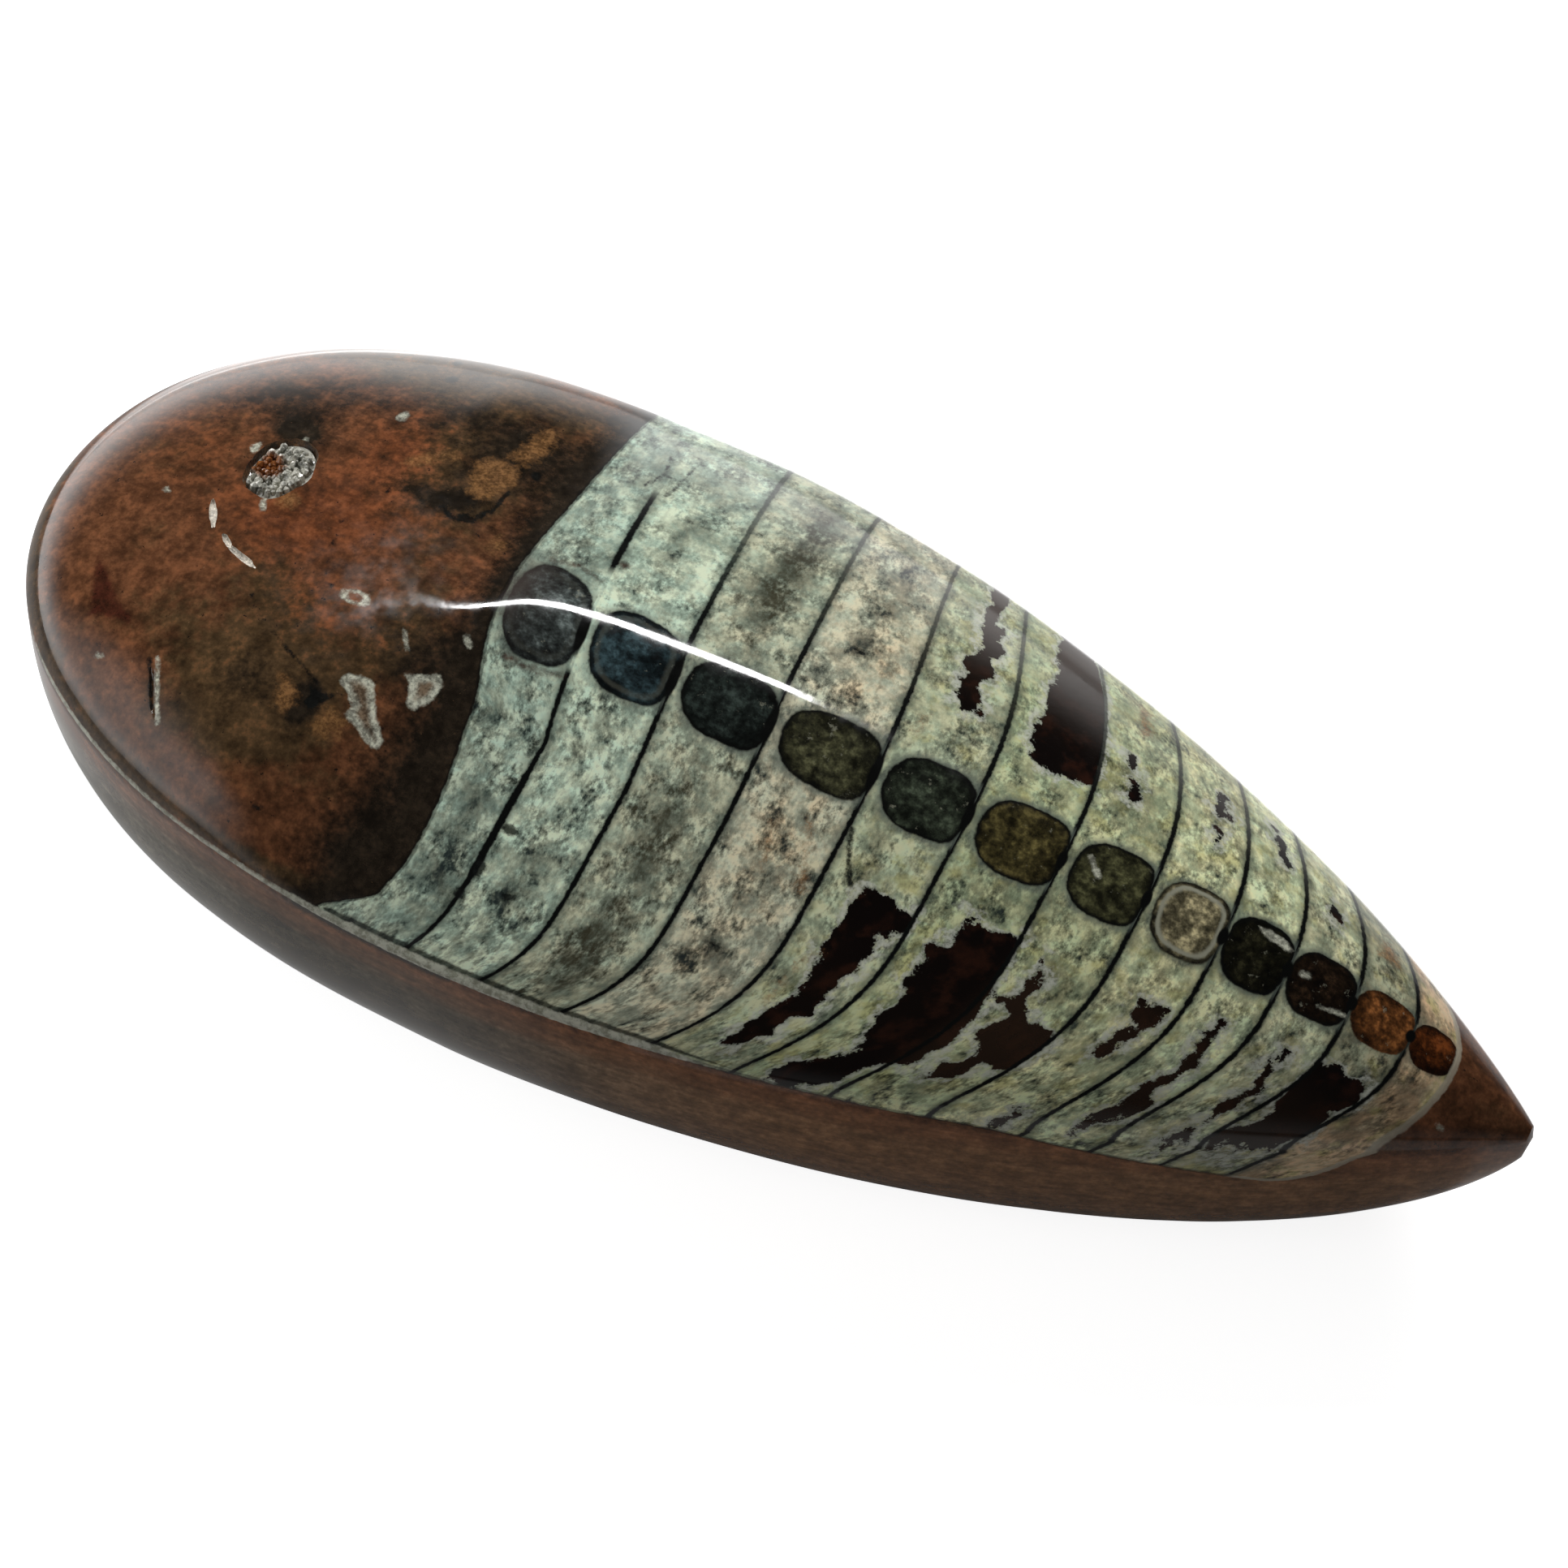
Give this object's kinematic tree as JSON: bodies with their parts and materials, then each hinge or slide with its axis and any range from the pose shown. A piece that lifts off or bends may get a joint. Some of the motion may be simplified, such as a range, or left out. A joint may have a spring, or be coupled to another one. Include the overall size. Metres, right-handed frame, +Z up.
{
  "type": "polished orthoceras fossil",
  "caption": "Torpedo-shaped polished stone with a straight-shelled fossil cut lengthwise: rounded head, ridged arched top, pointed tail, flat base.",
  "frame": {"origin": "middle of the bounding box at the flat base: half-way from head to tip, on the base plane", "axes": "+X from the blunt head to the pointed tip, +Z up through the ridge, +Y to the side away from the siphuncle beads"},
  "size_m": [0.15, 0.066, 0.032],
  "materials": {
    "polished_stone": "high polish, brown matrix with pale green-white calcite chambers and dark siphuncle beads",
    "crystals": "small glassy natural crystals"
  },
  "bodies": {
    "root": {"stone": "polished_stone", "crystal_crust": "crystals"}
  },
  "joints": []
}
